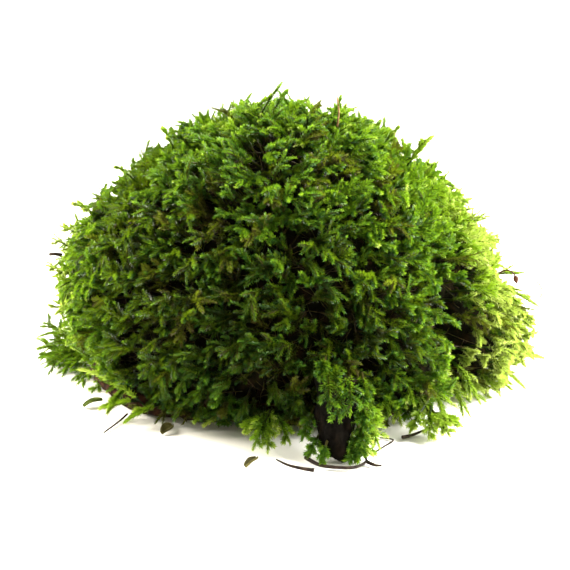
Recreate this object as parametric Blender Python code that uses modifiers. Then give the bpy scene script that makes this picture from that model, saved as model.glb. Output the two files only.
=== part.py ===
import math
import random

import bmesh
import bpy
from mathutils import Vector, noise

# A clump of feather moss: a dome of leafy shoots on a flat-cut pad of brown humus, with low
# tufts at its foot, a wedge of bark, twigs, dead leaves, two straws and one capsule stalk.
# Lengths are in millimetres until MM turns them into metres. +X is the clump's right, -Y its
# front and +Z up. Plan angles are in degrees from +X, so -90 is the front.
MM = 0.001
CLEARANCE = 0.35

# Dome of moss, measured over the shoots' tips.
DOME_HALF_WIDTH = 66.0
DOME_HALF_DEPTH = 58.0
DOME_HEIGHT = 78.0
DOME_SIDE_POWER = 0.86
DOME_TOP_POWER = 0.95
DOME_CENTRE_X = -6.0
UNDERCUT_RISE = 14.0
UNDERCUT_SHARE = 0.10

# The lower lobe at the right, the spread foot beside it, and the cleft between lobe and dome.
LOBE_ANGLE = -8.0
LOBE_SPREAD = 33.0
LOBE_RISE = 13.0
LOBE_RISE_SPREAD = 19.0
LOBE_REACH = 11.5
FOOT_ANGLE = -40.0
FOOT_SPREAD = 24.0
FOOT_RISE_SPREAD = 20.0
FOOT_REACH = 7.0
CLEFT_TOP_ANGLE = -42.0
CLEFT_FOOT_ANGLE = -50.0
CLEFT_TOP_RISE = 36.0
CLEFT_DEPTH = 14.0
CLEFT_HALF_WIDTH = 6.5
CLEFT_BARE_SHARE = 0.35

# Tufts that cover the dome.
TUFT_COUNT = 280
TUFT_LENGTH = 16.0
TUFT_RADIUS = 5.0
TUFT_DROOP = 0.75
LOWEST_RISE = 6.0
CORE_DEPTH = 6.5
CROWN_SPRIG_TIP = (-9.0, -12.0, 80.0)
CROWN_SPRIG_LENGTH = 17.0
CROWN_SPRIG_RADIUS = 3.2
CUSHION_GRAIN = 1.2
CUSHION_TRIANGLES = 4330
SKIRT_HEIGHT = 3.2
BARE_RIM_ANGLE = -138.0
BARE_RIM_SPREAD = 22.0
BARE_RIM_HEIGHT = 4.0

# Humus pad, cut off flat underneath.
PAD_HALF_WIDTH = 53.0
PAD_HALF_DEPTH = 46.5
PAD_HEIGHT = 10.0
PAD_RIM_HEIGHT = 6.5
PAD_BARE_REACH = 3.0
PAD_FOOT_REACH = 4.0
PAD_ROUGHNESS = 1.0
PAD_SIDES = 48
PAD_TOP_ROWS = 6
PAD_SIDE_ROWS = 3

# Low tufts round the foot, each shoot as its root, its tip and how far it bows up.
FOOT_GRAIN = 0.5
FOOT_TRIANGLES = 330
TUFT_LEFT_SHOOTS = [
    ((-59.0, -8.0, 3.4), (-77.0, 5.0, 2.0), 3.0),
    ((-59.0, -6.0, 4.6), (-74.0, 4.0, 10.0), 1.5),
    ((-59.0, -9.0, 3.0), (-74.0, -3.0, 1.6), 2.0),
    ((-58.0, -11.0, 2.8), (-70.0, -9.0, 1.5), 1.5),
    ((-57.0, -13.0, 2.8), (-65.0, -17.0, 1.5), 1.2),
]
TUFT_FRONT_SHOOTS = [
    ((-6.5, -52.5, 6.5), (-7.4, -62.5, 1.5), 0.8),
    ((-6.5, -52.5, 6.5), (-11.4, -60.5, 1.6), 0.6),
    ((-6.5, -52.0, 6.5), (-1.8, -59.0, 2.2), 0.8),
    ((-7.5, -52.0, 7.5), (-13.5, -55.5, 4.5), 0.8),
]
TUFT_BARK_SHOOTS = [
    ((16.2, -57.0, 9.5), (13.2, -65.4, 1.8), 0.8),
    ((16.2, -57.0, 9.0), (15.8, -63.2, 4.2), 0.8),
    ((16.6, -56.0, 8.6), (19.6, -58.4, 3.4), 0.8),
    ((16.4, -55.0, 9.0), (21.2, -54.4, 6.4), 0.6),
]
TUFT_RIGHT_SHOOTS = [
    ((31.0, -49.5, 5.6), (27.0, -55.4, 2.0), 0.8),
    ((31.6, -49.5, 5.6), (32.0, -57.4, 1.7), 0.8),
    ((32.4, -49.5, 5.6), (38.0, -54.6, 1.8), 0.8),
    ((33.0, -48.5, 5.6), (42.4, -49.8, 2.4), 0.8),
]
FOOT_SHOOT_RADIUS = 1.5

# Bark wedge: it leans out of the front edge and stands on its tip.
BARK_TOP = (9.4, -54.0, 17.0)
BARK_TIP = (7.0, -64.0, 0.9)
BARK_WIDTH = 11.5
BARK_THICKNESS = 5.4
BARK_TIP_SHARE = 0.5
BARK_RIDGES = 4
BARK_ROUGHNESS = 1.1

# Twigs, stalks and leaves.
TWIG_RADIUS = 0.5
TWIG_TIP_RADIUS = 0.26
TWIG_GRAIN = 0.12
TWIG_TRIANGLES = 320
SLIVER_RADIUS = 0.5
STUB_RADIUS = 0.6
STRAW_RADIUS = 0.26
THREAD_RADIUS = 0.2
STALK_RADIUS = 0.2
CAPSULE_RADIUS = 0.75
CAPSULE_SHARE = 0.3
LEAF_THICKNESS = 0.35
LEAF_ARCH = 0.12
PATH_STEPS = 3
STALK_PATH_STEPS = 5
SHARP_EDGE_ANGLE = 50.0
FORKED_TWIG_STEM = [
    (1.2, -63.2, 1.0), (4.6, -66.8, 0.9), (9.2, -67.9, 0.9),
    (12.8, -67.6, 0.9), (15.4, -64.8, 1.0), (14.4, -61.6, 1.3),
]
FORKED_TWIG_FORK = [(15.3, -65.0, 0.9), (17.2, -66.6, 0.8), (18.8, -66.6, 0.7)]
BENT_TWIG = [(-5.6, -64.0, 0.9), (-3.0, -66.4, 0.8), (0.0, -68.0, 0.8), (3.0, -69.2, 0.9)]
WIRY_STRAND = [(17.4, -60.0, 0.5), (20.4, -56.4, 0.5), (22.8, -53.2, 0.5), (19.6, -52.0, 0.5)]
SIDE_TWIG = [(25.0, -53.2, 1.2), (27.6, -51.4, 0.9), (30.4, -49.6, 1.2)]
LEFT_ROOTLET = [(-43.8, -40.0, 1.2), (-45.2, -42.8, 0.7), (-46.8, -46.0, 0.5), (-48.2, -49.2, 0.5)]

# Pieces that stand off the moss: where each leaves it, then its steps from there.
STUB_ANGLE, STUB_HEIGHT, STUB_GAP = 181.0, 32.0, 1.4
STUB_STEPS = [(0.0, 0.0, 0.0), (-2.0, -0.4, 0.5), (-3.6, 0.2, 0.2)]
UPRIGHT_PLACE, UPRIGHT_GAP = (10.2, -9.0), 0.9
UPRIGHT_STEPS = [(0.0, 0.0, 0.0), (0.4, 0.0, 4.2), (-0.2, -0.2, 8.0)]
CURL_ANGLE, CURL_HEIGHT, CURL_GAP = -17.0, 30.0, 3.0
CURL_STEPS = [(0.0, 0.0, 0.0), (1.6, -1.0, 0.2), (2.8, -1.8, -1.2), (3.0, -2.2, -3.0), (2.2, -2.0, -4.0)]
STALK_ANGLE, STALK_HEIGHT, STALK_GAP = -28.0, 35.0, 0.8
STALK_STEPS = [(0.0, 0.0, 0.0), (1.4, -0.7, 0.9), (2.8, -1.3, 0.7), (3.7, -1.7, -0.5), (4.1, -2.0, -2.2)]

# Dead leaves: base, tip, width, how far the sides curl up, and the turn about the midrib.
DEAD_LEAVES = {
    "leaf_dry": ((-10.2, -63.6, 0.9), (-12.6, -67.0, 0.6), 2.4, 0.7, 0.3),
    "leaf_flake_a": ((-51.6, -31.8, 1.4), (-56.2, -34.0, 0.5), 2.6, 0.6, 0.2),
    "leaf_flake_b": ((-31.6, -46.6, 1.2), (-33.8, -49.8, 0.5), 2.4, 0.6, -0.3),
}


def clear_scene():
    for obj in list(bpy.data.objects):
        bpy.data.objects.remove(obj, do_unlink=True)


def make_collection(name, hidden=False):
    collection = bpy.data.collections.new(name)
    bpy.context.scene.collection.children.link(collection)
    collection.hide_render = hidden
    return collection


def make_material(name, colour, roughness, metallic=0.0):
    material = bpy.data.materials.new(name)
    material.use_nodes = True
    shader = material.node_tree.nodes["Principled BSDF"]
    shader.inputs["Base Color"].default_value = (*colour, 1.0)
    shader.inputs["Roughness"].default_value = roughness
    shader.inputs["Metallic"].default_value = metallic
    material.diffuse_color = (*colour, 1.0)
    return material


def add_mesh_object(name, shape, material, collection):
    """Turns a bmesh in millimetres into an object in metres."""
    bmesh.ops.scale(shape, vec=(MM, MM, MM), verts=shape.verts)
    bmesh.ops.recalc_face_normals(shape, faces=shape.faces)
    mesh = bpy.data.meshes.new(name)
    shape.to_mesh(mesh)
    shape.free()
    mesh.materials.append(material)
    obj = bpy.data.objects.new(name, mesh)
    collection.objects.link(obj)
    return obj


def bell(value, spread):
    return math.exp(-((value / spread) ** 2))


def turn_between(angle, other):
    """Signed difference of two plan angles, from -180 to 180 degrees."""
    return (angle - other + 180.0) % 360.0 - 180.0


def rough(x, y, z, size, seed):
    """Smooth noise from about -1 to 1, with lumps of the given size."""
    return noise.noise(Vector((x / size + seed, y / size - seed, z / size + 2 * seed)))


# ---- Dome shape -----------------------------------------------------------------------------


def cleft_dip(angle, rise):
    """Depth of the cleft below the dome's surface at this plan angle and rise."""
    down = max(0.0, min(1.0, 1.0 - rise / CLEFT_TOP_RISE))
    line = CLEFT_TOP_ANGLE + (CLEFT_FOOT_ANGLE - CLEFT_TOP_ANGLE) * down
    away = turn_between(angle, line) / CLEFT_HALF_WIDTH
    return CLEFT_DEPTH * math.sqrt(down) * math.exp(-away * away)


def dome_point(angle, rise, sink=0.0):
    """Point on the dome for a plan angle and a rise from 0 at the foot to 90 at the top."""
    turn = math.radians(angle)
    lift = math.radians(max(0.0, rise))
    flat = math.cos(lift) ** DOME_SIDE_POWER
    flat *= 1 - UNDERCUT_SHARE * max(0.0, 1 - rise / UNDERCUT_RISE) ** 2
    lobe = LOBE_REACH * bell(turn_between(angle, LOBE_ANGLE), LOBE_SPREAD)
    lobe *= bell(rise - LOBE_RISE, LOBE_RISE_SPREAD)
    foot = FOOT_REACH * bell(turn_between(angle, FOOT_ANGLE), FOOT_SPREAD)
    foot *= bell(rise, FOOT_RISE_SPREAD)
    swell = 1.6 * rough(math.cos(turn), math.sin(turn), rise / 40.0, 0.7, 5.3)
    reach = lobe + foot + swell - cleft_dip(angle, rise) - sink
    x = (DOME_HALF_WIDTH + reach) * flat * math.cos(turn) + DOME_CENTRE_X
    y = (DOME_HALF_DEPTH + reach) * flat * math.sin(turn)
    z = (DOME_HEIGHT + swell - sink) * math.sin(lift) ** DOME_TOP_POWER
    return Vector((x, y, z))


def dome_normal(angle, rise):
    """Outward direction of the plain dome, without its lobe and cleft."""
    turn = math.radians(angle)
    lift = math.radians(rise)
    slope = Vector((math.cos(turn), math.sin(turn), 0.0)) * math.cos(lift)
    return (slope + Vector((0.0, 0.0, math.sin(lift)))).normalized()


def skirt_height(angle):
    """Height of the moss's lower edge: it lifts off the pad's rim where the humus is bare."""
    lift = bell(turn_between(angle, BARE_RIM_ANGLE), BARE_RIM_SPREAD)
    return SKIRT_HEIGHT + BARE_RIM_HEIGHT * lift


# ---- Building helpers -----------------------------------------------------------------------


def add_spindle(shape, root, tip, sag, radius, sides=8, rings=7):
    """Adds a plump tapered finger from root to tip that sags by a length at its middle."""
    middle = (root + tip) / 2 + Vector((0.0, 0.0, sag))
    made = bmesh.ops.create_uvsphere(shape, u_segments=sides, v_segments=rings, radius=1.0)
    aim = (tip - root).to_track_quat("Z", "Y")
    for vert in made["verts"]:
        along = (vert.co.z + 1.0) / 2.0
        centre = root * (1 - along) ** 2 + middle * 2 * along * (1 - along) + tip * along**2
        girth = radius * (1.1 - 0.25 * along)
        vert.co = centre + aim @ Vector((vert.co.x * girth, vert.co.y * girth, 0.0))


def count_triangles(mesh):
    mesh.calc_loop_triangles()
    return len(mesh.loop_triangles)


def bake_modifiers(obj):
    """Replaces the mesh by its modified shape and keeps only the largest closed piece of it."""
    graph = bpy.context.evaluated_depsgraph_get()
    mesh = bpy.data.meshes.new_from_object(obj.evaluated_get(graph))
    obj.modifiers.clear()
    obj.data = mesh
    shape = bmesh.new()
    shape.from_mesh(mesh)
    left = set(shape.verts)
    pieces = []
    while left:
        piece = {left.pop()}
        edge_of_search = list(piece)
        while edge_of_search:
            vert = edge_of_search.pop()
            for edge in vert.link_edges:
                other = edge.other_vert(vert)
                if other not in piece:
                    piece.add(other)
                    edge_of_search.append(other)
        left -= piece
        pieces.append(piece)
    pieces.sort(key=len)
    spare = [vert for piece in pieces[:-1] for vert in piece]
    bmesh.ops.delete(shape, geom=spare, context="VERTS")
    shape.to_mesh(mesh)
    shape.free()


def weld_and_thin(obj, grain, triangles):
    """Joins overlapping shapes into one skin, then thins it to about this many triangles."""
    weld = obj.modifiers.new("weld", "REMESH")
    weld.mode = "VOXEL"
    weld.voxel_size = grain * MM
    bake_modifiers(obj)
    thin = obj.modifiers.new("thin", "DECIMATE")
    thin.ratio = triangles / count_triangles(obj.data)
    bake_modifiers(obj)


def cut_away(obj, cutter):
    cut = obj.modifiers.new("cut " + cutter.name, "BOOLEAN")
    cut.operation = "DIFFERENCE"
    cut.solver = "EXACT"
    cut.object = cutter
    bake_modifiers(obj)


# ---- Humus pad ------------------------------------------------------------------------------


def pad_rim(angle):
    """Plan point of the pad's rim: an ellipse with uneven edges, wider where it lies bare."""
    turn = math.radians(angle)
    uneven = 2.2 * rough(math.cos(turn), math.sin(turn), 0.0, 0.32, 9.1)
    uneven += 1.0 * rough(math.cos(turn), math.sin(turn), 0.0, 0.11, 4.7)
    bare = PAD_BARE_REACH * bell(turn_between(angle, BARE_RIM_ANGLE), BARE_RIM_SPREAD)
    foot = PAD_FOOT_REACH * bell(turn_between(angle, FOOT_ANGLE), FOOT_SPREAD)
    reach = uneven + bare + foot
    x = (PAD_HALF_WIDTH + reach) * math.cos(turn) + DOME_CENTRE_X
    y = (PAD_HALF_DEPTH + reach) * math.sin(turn)
    return Vector((x, y, 0.0))


def pad_profile(row):
    """Share of the rim radius and height for each row, from the top's centre to the base."""
    if row <= PAD_TOP_ROWS:
        out = row / PAD_TOP_ROWS
        return 0.96 * out, PAD_HEIGHT - (PAD_HEIGHT - PAD_RIM_HEIGHT) * out**2
    down = (row - PAD_TOP_ROWS) / PAD_SIDE_ROWS
    return 0.96 + 0.05 * math.sin(math.pi * min(1.0, down * 1.3)), PAD_RIM_HEIGHT * (1 - down)


def pad_shape(grow, below):
    """Rows of a sphere moved to the pad's rows. Its lower cap becomes one flat face."""
    shape = bmesh.new()
    rows = PAD_TOP_ROWS + PAD_SIDE_ROWS
    bmesh.ops.create_uvsphere(shape, u_segments=PAD_SIDES, v_segments=rows + 1, radius=1.0)
    spare = []
    centre = Vector((DOME_CENTRE_X, 0.0, 0.0))
    for vert in shape.verts:
        row = round(math.acos(max(-1.0, min(1.0, vert.co.z))) / math.pi * (rows + 1))
        if row > rows:
            spare.append(vert)
            continue
        angle = math.degrees(math.atan2(vert.co.y, vert.co.x))
        share, height = pad_profile(row)
        rim = pad_rim(angle) - centre
        x, y = rim.x * share, rim.y * share
        if 0 < row < rows:
            crumb = PAD_ROUGHNESS * rough(x, y, height, 6.0, 1.9)
            crumb += 0.6 * PAD_ROUGHNESS * rough(x, y, height, 2.6, 7.2)
            height = max(0.8, height + crumb)
            x, y = x * (1 + crumb / 90.0), y * (1 + crumb / 90.0)
        drop = below if row == rows else 0.0
        vert.co = Vector((x, y, height - drop)) + centre
    bmesh.ops.delete(shape, geom=spare, context="VERTS")
    open_edges = [edge for edge in shape.edges if edge.is_boundary]
    bmesh.ops.contextual_create(shape, geom=open_edges)
    bmesh.ops.triangulate(shape, faces=shape.faces)
    bmesh.ops.recalc_face_normals(shape, faces=shape.faces)
    grown = [vert.co + vert.normal * grow for vert in shape.verts]
    for vert, place in zip(shape.verts, grown):
        vert.co = place
    return shape


# ---- Moss cushion ---------------------------------------------------------------------------


def cushion_core():
    """The dome below the tufts: a sphere moved to the sunken dome, closed by a low skirt."""
    shape = bmesh.new()
    bmesh.ops.create_uvsphere(shape, u_segments=72, v_segments=36, radius=1.0)
    for vert in shape.verts:
        angle = math.degrees(math.atan2(vert.co.y, vert.co.x))
        rise = math.degrees(math.asin(max(-1.0, min(1.0, vert.co.z))))
        if rise >= 0:
            point = dome_point(angle, rise, CORE_DEPTH)
        else:
            point = dome_point(angle, 0.0, CORE_DEPTH)
            share = math.cos(math.radians(rise))
            point.x = DOME_CENTRE_X + (point.x - DOME_CENTRE_X) * share
            point.y *= share
        point.z = max(point.z, skirt_height(angle) + 1.0)
        vert.co = point
    return shape


def tuft_directions():
    """Plan angle and rise of each tuft, spread evenly by the golden angle."""
    golden = 180.0 * (3.0 - math.sqrt(5.0))
    lowest = math.sin(math.radians(LOWEST_RISE))
    for index in range(TUFT_COUNT):
        height = lowest + (1.0 - lowest) * (index + 0.5) / TUFT_COUNT
        yield index * golden % 360.0 - 180.0, math.degrees(math.asin(height))


def build_cushion(material, collection, neighbour_cutters):
    picker = random.Random(11)
    shape = cushion_core()
    for angle, rise in tuft_directions():
        angle += picker.uniform(-3.0, 3.0)
        rise = max(LOWEST_RISE, min(88.0, rise + picker.uniform(-2.0, 2.0)))
        size = picker.uniform(0.8, 1.2)
        if cleft_dip(angle, rise) > CLEFT_BARE_SHARE * CLEFT_DEPTH:
            continue
        normal = dome_normal(angle, rise)
        aside = Vector((-normal.y, normal.x, 0.0)) * picker.uniform(-0.7, 0.7)
        droop = Vector((0.0, 0.0, -TUFT_DROOP * math.cos(math.radians(rise))))
        heading = (normal * 0.8 + droop + aside).normalized()
        radius = TUFT_RADIUS * size
        tip = dome_point(angle, rise, picker.uniform(0.0, 1.6)) - normal * radius * 0.35
        tip.z = max(tip.z, skirt_height(angle) + radius * 0.7)
        root = tip - heading * TUFT_LENGTH * size - normal * 2.0
        root.z = max(root.z, skirt_height(angle) + radius * 1.15)
        add_spindle(shape, root, tip, 1.6 * size, radius)
    crown = Vector(CROWN_SPRIG_TIP)
    crown_root = crown - Vector((0.0, 0.0, CROWN_SPRIG_LENGTH))
    add_spindle(shape, crown_root, crown, 0.0, CROWN_SPRIG_RADIUS)
    obj = add_mesh_object("moss_cushion", shape, material, collection)
    weld_and_thin(obj, CUSHION_GRAIN, CUSHION_TRIANGLES)
    for cutter in neighbour_cutters:
        cut_away(obj, cutter)
    return obj


# ---- Foot tufts, bark, twigs and leaves -----------------------------------------------------


def build_foot_tuft(name, shoots, material, collection, pad_cutter):
    """Joins shoots, each given as root, tip and bow, into one small tuft."""
    shape = bmesh.new()
    for root, tip, bow in shoots:
        add_spindle(shape, Vector(root), Vector(tip), bow, FOOT_SHOOT_RADIUS)
    for vert in shape.verts:
        vert.co.z = max(vert.co.z, CLEARANCE)
    obj = add_mesh_object(name, shape, material, collection)
    weld_and_thin(obj, FOOT_GRAIN, FOOT_TRIANGLES)
    cut_away(obj, pad_cutter)
    return obj


def grown_cutter(obj, collection):
    """Copy of a piece grown by the clearance, to cut its own pocket into a neighbour."""
    shape = bmesh.new()
    shape.from_mesh(obj.data)
    shape.normal_update()
    grown = [vert.co + vert.normal * CLEARANCE * MM for vert in shape.verts]
    for vert, place in zip(shape.verts, grown):
        vert.co = place
    mesh = bpy.data.meshes.new(obj.name + "_cutter")
    shape.to_mesh(mesh)
    shape.free()
    cutter = bpy.data.objects.new(obj.name + "_cutter", mesh)
    collection.objects.link(cutter)
    cutter.hide_render = True
    cutter.display_type = "WIRE"
    return cutter


def build_bark(material, collection):
    """A cube drawn out into a rough wedge that narrows to its tip, ridged along its length."""
    shape = bmesh.new()
    bmesh.ops.create_cube(shape, size=1.0)
    bmesh.ops.subdivide_edges(shape, edges=shape.edges, cuts=4, use_grid_fill=True)
    top, tip = Vector(BARK_TOP), Vector(BARK_TIP)
    aim = (tip - top).to_track_quat("Z", "Y")
    for vert in shape.verts:
        across, through, down = vert.co
        along = down + 0.5
        share = 1 - (1 - BARK_TIP_SHARE) * along
        round_off = 1 - 0.35 * (2 * across) ** 2 * (2 * through) ** 2
        ridge = 1 + 0.16 * math.cos(2 * math.pi * BARK_RIDGES * across)
        x = across * BARK_WIDTH * share * round_off
        y = through * BARK_THICKNESS * share * round_off * ridge
        chip = BARK_ROUGHNESS * rough(x, y, along * 18.0, 4.0, 3.3)
        point = top.lerp(tip, along) + aim @ Vector((x + chip, y + 0.6 * chip, 0.0))
        point.z = max(point.z + 0.8 * chip, CLEARANCE)
        vert.co = point
    bmesh.ops.triangulate(shape, faces=shape.faces)
    return add_mesh_object("bark_chip", shape, material, collection)


def smooth_path(points, steps=PATH_STEPS):
    """Catmull-Rom path through the points, with this many steps between each two."""
    points = [Vector(point) for point in points]
    ends = [2 * points[0] - points[1]] + points + [2 * points[-1] - points[-2]]
    path = []
    for before, start, stop, after in zip(ends, ends[1:], ends[2:], ends[3:]):
        for step in range(steps):
            t = step / steps
            bend = 2 * before - 5 * start + 4 * stop - after
            twist = 3 * (start - stop) + after - before
            path.append(start + 0.5 * t * (stop - before + t * (bend + t * twist)))
    return path + [points[-1]]


def add_stalk(name, paths, girth, material, collection):
    """A curve object with one round tube per path; girth gives the radius along a tube."""
    curve = bpy.data.curves.new(name, "CURVE")
    curve.dimensions = "3D"
    curve.bevel_depth = MM
    curve.bevel_resolution = 2
    curve.use_fill_caps = True
    for path in paths:
        spline = curve.splines.new("POLY")
        spline.points.add(len(path) - 1)
        for index, (point, place) in enumerate(zip(spline.points, path)):
            point.co = (*(place * MM), 1.0)
            point.radius = girth(index / (len(path) - 1))
    curve.materials.append(material)
    obj = bpy.data.objects.new(name, curve)
    collection.objects.link(obj)
    return obj


def tapered(thick, thin):
    return lambda along: thick + (thin - thick) * along


def stalk_and_capsule(along):
    """Thin stalk that swells into an egg-shaped capsule over the last part of its length."""
    if along < 1 - CAPSULE_SHARE:
        return STALK_RADIUS
    part = max(0.0, along - 1 + CAPSULE_SHARE) / CAPSULE_SHARE
    return STALK_RADIUS + (CAPSULE_RADIUS - STALK_RADIUS) * math.sin(math.pi * part**0.8)


def build_forked_twig(material, collection):
    """Two tubes, stem and fork, made one mesh and rebuilt as one closed body."""
    paths = [smooth_path(FORKED_TWIG_STEM), smooth_path(FORKED_TWIG_FORK)]
    tubes = add_stalk("twig_tubes", paths, tapered(TWIG_RADIUS, TWIG_TIP_RADIUS), material, collection)
    graph = bpy.context.evaluated_depsgraph_get()
    mesh = bpy.data.meshes.new_from_object(tubes.evaluated_get(graph))
    mesh.transform(tubes.matrix_world)
    bpy.data.objects.remove(tubes, do_unlink=True)
    shape = bmesh.new()
    shape.from_mesh(mesh)
    bmesh.ops.remove_doubles(shape, verts=shape.verts, dist=MM * 0.001)
    shape.to_mesh(mesh)
    shape.free()
    twig = bpy.data.objects.new("twig_forked", mesh)
    collection.objects.link(twig)
    weld_and_thin(twig, TWIG_GRAIN, TWIG_TRIANGLES)
    return twig


def build_leaf(name, base, tip, width, curl, turn, material, collection):
    """A grid narrowed to a leaf outline, curled across, then given its thickness."""
    shape = bmesh.new()
    bmesh.ops.create_grid(shape, x_segments=6, y_segments=3, size=0.5)
    base, tip = Vector(base), Vector(tip)
    length = (tip - base).length
    aim = (tip - base).to_track_quat("X", "Z")
    for vert in shape.verts:
        along, across = vert.co.x + 0.5, vert.co.y * 2
        half = 0.5 * width * (0.16 + 0.84 * math.sin(math.pi * along**0.8) ** 0.8)
        lift = curl * across**2 + LEAF_ARCH * length * math.sin(math.pi * along)
        side = Vector((0.0, math.cos(turn), math.sin(turn))) * across * half
        vert.co = base + aim @ (Vector((along * length, 0.0, lift)) + side)
    leaf = add_mesh_object(name, shape, material, collection)
    skin = leaf.modifiers.new("thickness", "SOLIDIFY")
    skin.thickness = LEAF_THICKNESS * MM
    skin.offset = 1.0
    return leaf


def outside_of(obj, angle, height, gap):
    """Point this far outside an object's surface, at a plan angle and a height."""
    turn = math.radians(angle)
    out = Vector((math.cos(turn), math.sin(turn), 0.0))
    start = (Vector((0.0, 0.0, height)) + out * 120.0) * MM
    found, place, normal, face = obj.ray_cast(start, -out)
    return place / MM + out * gap


def above(obj, x, y, gap):
    """Point this far above an object's surface, over a place in plan."""
    down = Vector((0.0, 0.0, -1.0))
    found, place, normal, face = obj.ray_cast(Vector((x, y, 120.0)) * MM, down)
    return place / MM - down * gap


def stepped_path(root, steps, path_steps=PATH_STEPS):
    """Smooth path through the places reached by steps from a root."""
    return smooth_path([root + Vector(step) for step in steps], path_steps)


def build_thin_pieces(cushion, wood, straw, leaf, capsule, collection):
    build_forked_twig(wood, collection)
    loose = {
        "twig_bent": (BENT_TWIG, tapered(THREAD_RADIUS, SLIVER_RADIUS)),
        "strand_wiry": (WIRY_STRAND, tapered(THREAD_RADIUS, THREAD_RADIUS)),
        "twig_side": (SIDE_TWIG, tapered(SLIVER_RADIUS, STRAW_RADIUS)),
        "rootlet_left": (LEFT_ROOTLET, tapered(STRAW_RADIUS, THREAD_RADIUS)),
    }
    for name, (points, girth) in loose.items():
        add_stalk(name, [smooth_path(points)], girth, wood, collection)

    stub = stepped_path(outside_of(cushion, STUB_ANGLE, STUB_HEIGHT, STUB_GAP), STUB_STEPS)
    add_stalk("twig_stub", [stub], tapered(STUB_RADIUS, SLIVER_RADIUS), wood, collection)
    upright = stepped_path(above(cushion, *UPRIGHT_PLACE, UPRIGHT_GAP), UPRIGHT_STEPS)
    add_stalk("straw_upright", [upright], tapered(STRAW_RADIUS, THREAD_RADIUS), straw, collection)
    curl = stepped_path(outside_of(cushion, CURL_ANGLE, CURL_HEIGHT, CURL_GAP), CURL_STEPS)
    add_stalk("straw_curled", [curl], tapered(THREAD_RADIUS, THREAD_RADIUS), straw, collection)
    stalk_root = outside_of(cushion, STALK_ANGLE, STALK_HEIGHT, STALK_GAP)
    stalk = stepped_path(stalk_root, STALK_STEPS, STALK_PATH_STEPS)
    add_stalk("sporophyte", [stalk], stalk_and_capsule, capsule, collection)

    for name, (base, tip, width, curl, turn) in DEAD_LEAVES.items():
        build_leaf(name, base, tip, width, curl, turn, leaf, collection)


def shade_round(collection):
    """Smooth shading on every mesh, but for its sharp edges."""
    for obj in collection.objects:
        if obj.type == "MESH":
            obj.data.shade_smooth()
            obj.data.set_sharp_from_angle(angle=math.radians(SHARP_EDGE_ANGLE))


def stand_over_origin(collection):
    """Moves every piece so that the clump's box is centred over the origin."""
    bpy.context.view_layer.update()
    graph = bpy.context.evaluated_depsgraph_get()
    points = []
    for obj in collection.objects:
        done = obj.evaluated_get(graph)
        points += [vert.co.copy() for vert in done.to_mesh().vertices]
        done.to_mesh_clear()
    middle_x = (min(point.x for point in points) + max(point.x for point in points)) / 2
    middle_y = (min(point.y for point in points) + max(point.y for point in points)) / 2
    for obj in collection.objects:
        obj.location.x -= middle_x
        obj.location.y -= middle_y


def main():
    clear_scene()
    parts = make_collection("moss_clump")
    cutters = make_collection("moss_clump_cutters", hidden=True)
    moss = make_material("moss_green", (0.12, 0.27, 0.025), 0.85)
    tips = make_material("moss_tips", (0.26, 0.42, 0.03), 0.85)
    humus = make_material("humus_brown", (0.075, 0.038, 0.018), 0.95)
    bark = make_material("bark_dark", (0.035, 0.022, 0.012), 0.9)
    wood = make_material("twig_brown", (0.07, 0.035, 0.02), 0.8)
    straw = make_material("straw_tan", (0.3, 0.2, 0.08), 0.7)
    leaf = make_material("leaf_brown", (0.16, 0.13, 0.04), 0.75)
    capsule = make_material("capsule_brown", (0.2, 0.07, 0.02), 0.5)

    add_mesh_object("humus_pad", pad_shape(0.0, 0.0), humus, parts)
    pad_cutter = add_mesh_object("pad_cutter", pad_shape(CLEARANCE, 6.0), humus, cutters)
    pad_cutter.hide_render = True
    pad_cutter.display_type = "WIRE"

    bark_chip = build_bark(bark, parts)
    cut_away(bark_chip, pad_cutter)
    around = [
        build_foot_tuft("tuft_left", TUFT_LEFT_SHOOTS, moss, parts, pad_cutter),
        build_foot_tuft("tuft_front", TUFT_FRONT_SHOOTS, tips, parts, pad_cutter),
        build_foot_tuft("tuft_bark", TUFT_BARK_SHOOTS, tips, parts, pad_cutter),
        build_foot_tuft("tuft_right", TUFT_RIGHT_SHOOTS, tips, parts, pad_cutter),
        bark_chip,
    ]
    neighbour_cutters = [pad_cutter] + [grown_cutter(obj, cutters) for obj in around]
    cushion = build_cushion(moss, parts, neighbour_cutters)
    build_thin_pieces(cushion, wood, straw, leaf, capsule, parts)
    shade_round(parts)
    stand_over_origin(parts)


main()
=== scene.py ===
import math
import bpy
import numpy as np
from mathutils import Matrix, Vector


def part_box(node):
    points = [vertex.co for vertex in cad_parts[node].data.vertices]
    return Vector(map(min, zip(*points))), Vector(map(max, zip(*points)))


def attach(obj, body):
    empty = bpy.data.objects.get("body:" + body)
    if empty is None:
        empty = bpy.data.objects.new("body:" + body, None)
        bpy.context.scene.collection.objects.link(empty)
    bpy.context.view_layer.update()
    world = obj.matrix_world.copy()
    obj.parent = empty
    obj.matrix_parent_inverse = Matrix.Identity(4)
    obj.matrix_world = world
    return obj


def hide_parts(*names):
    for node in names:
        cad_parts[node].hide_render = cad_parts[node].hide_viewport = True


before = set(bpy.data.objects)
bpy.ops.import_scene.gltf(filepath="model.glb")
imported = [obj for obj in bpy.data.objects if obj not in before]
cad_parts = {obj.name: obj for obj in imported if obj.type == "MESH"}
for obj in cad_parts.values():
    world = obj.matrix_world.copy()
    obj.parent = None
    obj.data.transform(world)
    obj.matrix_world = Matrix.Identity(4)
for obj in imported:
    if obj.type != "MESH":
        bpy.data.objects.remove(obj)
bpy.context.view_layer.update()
print("frame loaded")

mm = 0.001


# ---- small maths shared by every piece

def unit(v):
    return v / np.maximum(np.linalg.norm(v, axis=-1, keepdims=True), 1e-12)


def bell(value, spread):
    return np.exp(-(value / spread) ** 2)


def smoothStep(low, high, value):
    part = np.clip((value - low) / (high - low), 0, 1)
    return part * part * (3 - 2 * part)


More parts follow.
